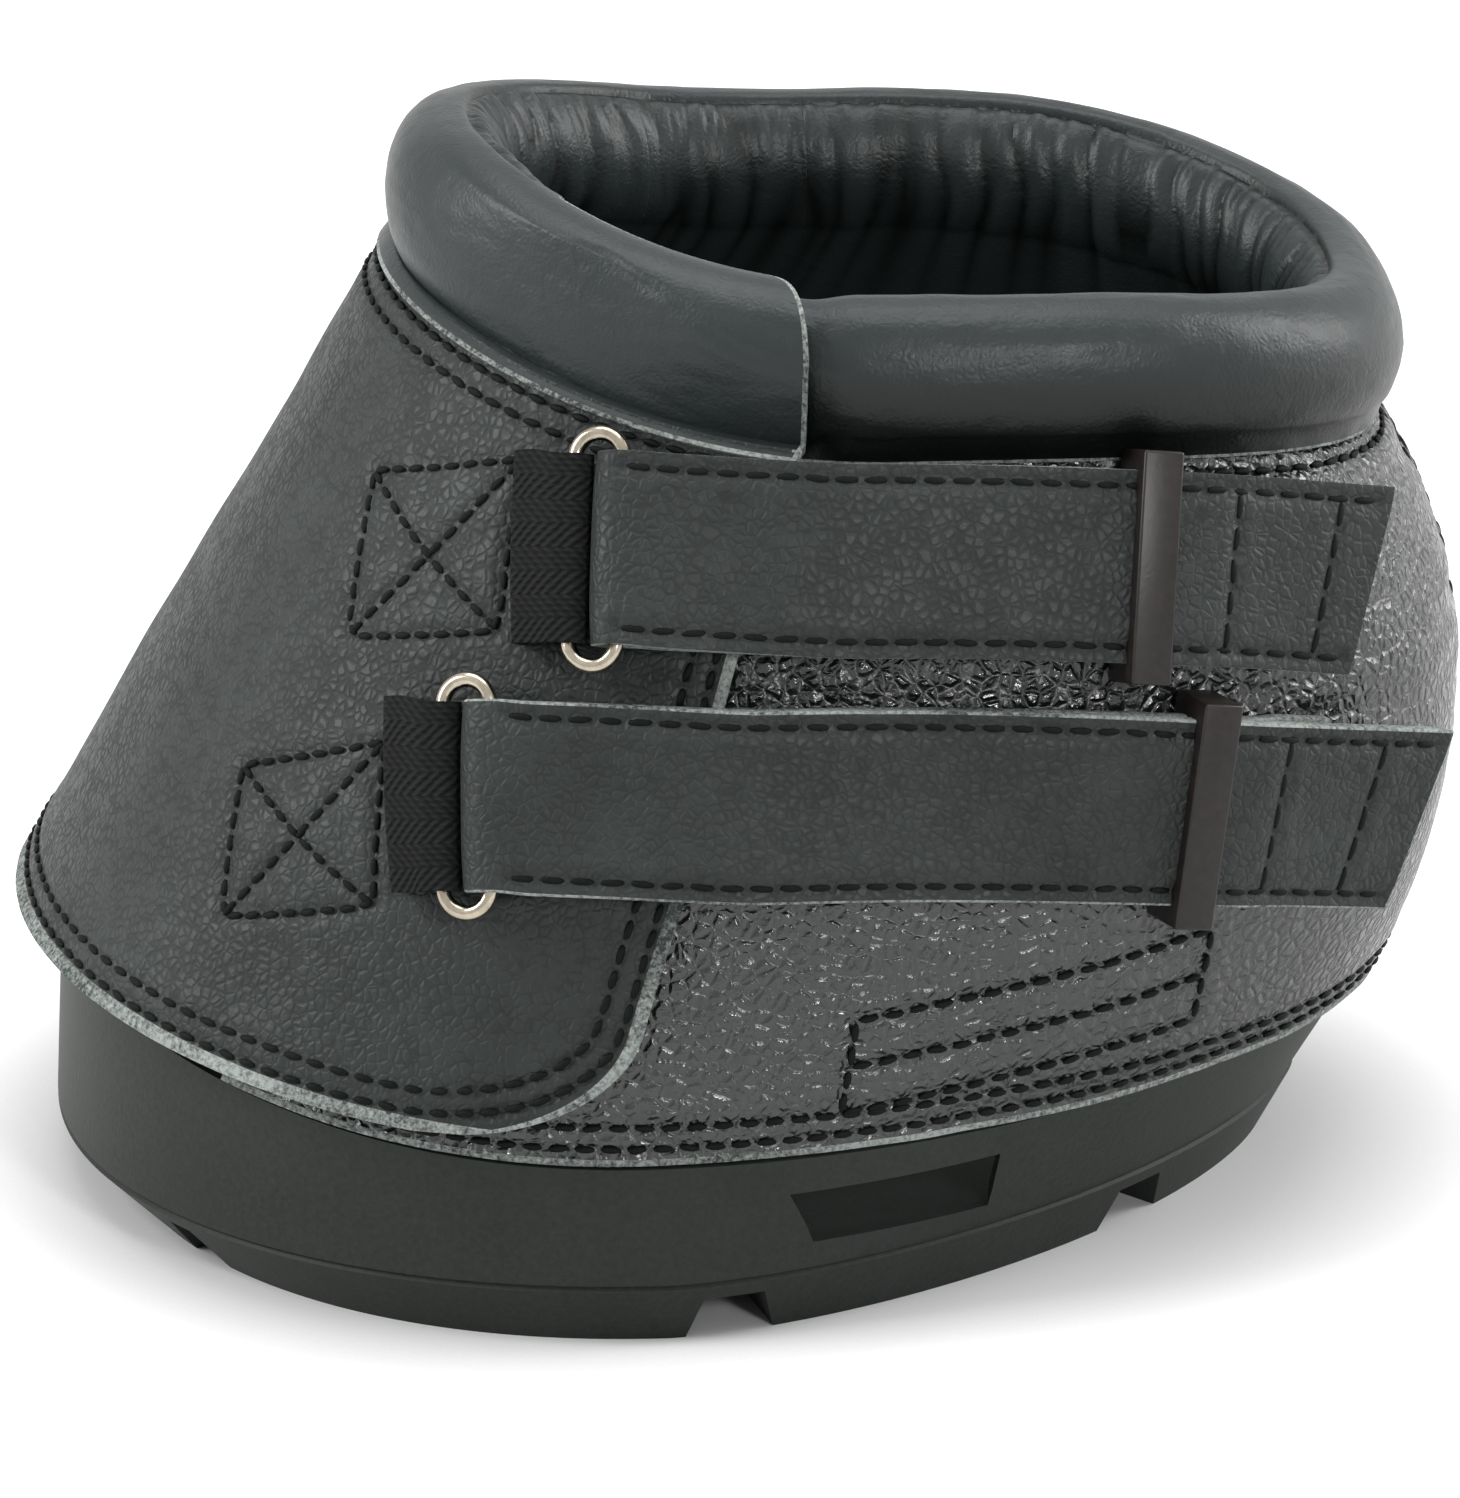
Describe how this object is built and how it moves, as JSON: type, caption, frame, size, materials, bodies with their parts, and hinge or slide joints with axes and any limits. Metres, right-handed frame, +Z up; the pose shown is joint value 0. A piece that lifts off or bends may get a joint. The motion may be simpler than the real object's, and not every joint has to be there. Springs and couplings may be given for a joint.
{
  "type": "horse hoof boot",
  "caption": "Hoof boot with a rubber cup sole, wrapped leather upper, padded collar, an opening front flap and two ringed hook-and-loop straps",
  "frame": {"origin": "on the ground, at the middle of the pad under the sole", "axes": "+Z up, +X towards the heel, -Y towards the side that the flap closes on"},
  "size_m": [0.178, 0.1348, 0.1343],
  "materials": {
    "rubber": "matte black moulded rubber",
    "pebbled_leather": "black full-grain pebbled leather",
    "soft_leather": "smooth soft black garment leather",
    "lining": "dark napped lining",
    "foam": "closed-cell foam",
    "tape": "woven seam tape",
    "hook_and_loop": "black hook-and-loop tape",
    "webbing": "black herringbone webbing",
    "nickel": "bright nickel-plated wire",
    "keeper_plastic": "brown-black moulded plastic"
  },
  "bodies": {
    "boot": {"outsole": "rubber", "near_quarter": "pebbled_leather", "far_quarter": "pebbled_leather", "heel_seam_tape": "tape", "near_stiffener": "tape", "far_stiffener": "tape", "near_lining": "lining", "far_lining": "lining", "quarter_loop_patch": "hook_and_loop", "rear_collar_cover": "soft_leather", "rear_collar_foam": "foam"},
    "flap": {"front_flap": "pebbled_leather", "flap_lining": "lining", "flap_hook_patch": "hook_and_loop", "front_collar_cover": "soft_leather", "front_collar_foam": "foam", "upper_webbing_loop": "webbing", "lower_webbing_loop": "webbing"},
    "upper_ring": {"upper_ring": "nickel"},
    "lower_ring": {"lower_ring": "nickel"},
    "upper_strap": {"upper_strap": "pebbled_leather"},
    "lower_strap": {"lower_strap": "pebbled_leather"},
    "upper_tip": {"upper_strap_tip": "pebbled_leather", "upper_hook_pad": "hook_and_loop"},
    "lower_tip": {"lower_strap_tip": "pebbled_leather", "lower_hook_pad": "hook_and_loop"},
    "upper_keeper": {"upper_keeper": "keeper_plastic"},
    "lower_keeper": {"lower_keeper": "keeper_plastic"}
  },
  "joints": [
    {"name": "flap_open", "type": "hinge", "parent": "boot", "child": "flap", "pos_m": [-0.004, 0.0598, 0.073], "axis": [-0.173, 0.1514, -0.9732], "range_deg": [0, 100]},
    {"name": "upper_ring_swing", "type": "hinge", "parent": "flap", "child": "upper_ring", "pos_m": [-0.02397, -0.05149, 0.09477], "axis": [-0.0685, -0.4281, -0.9011], "range_deg": [0, 45]},
    {"name": "lower_ring_swing", "type": "hinge", "parent": "flap", "child": "lower_ring", "pos_m": [-0.03945, -0.05774, 0.06686], "axis": [-0.0232, -0.3775, -0.9257], "range_deg": [0, 45]},
    {"name": "upper_strap_swing", "type": "hinge", "parent": "upper_ring", "child": "upper_strap", "pos_m": [-0.01849, -0.05332, 0.09522], "axis": [-0.0685, -0.4281, -0.9011], "range_deg": [0, 80]},
    {"name": "lower_strap_swing", "type": "hinge", "parent": "lower_ring", "child": "lower_strap", "pos_m": [-0.0341, -0.05986, 0.06759], "axis": [-0.0232, -0.3775, -0.9257], "range_deg": [0, 80]},
    {"name": "upper_tip_peel", "type": "hinge", "parent": "upper_strap", "child": "upper_tip", "pos_m": [0.04946, -0.05089, 0.08992], "axis": [-0.0974, -0.3159, -0.9438], "range_deg": [0, 90]},
    {"name": "lower_tip_peel", "type": "hinge", "parent": "lower_strap", "child": "lower_tip", "pos_m": [0.05531, -0.05488, 0.06129], "axis": [-0.1196, -0.1854, -0.9754], "range_deg": [0, 90]},
    {"name": "upper_keeper_slide", "type": "slide", "parent": "upper_strap", "child": "upper_keeper", "axis": [0.9576, 0.2357, -0.1655], "range_m": [-0.003, 0.003]},
    {"name": "lower_keeper_slide", "type": "slide", "parent": "lower_strap", "child": "lower_keeper", "axis": [0.9343, 0.3176, -0.1618], "range_m": [-0.003, 0.003]}
  ]
}
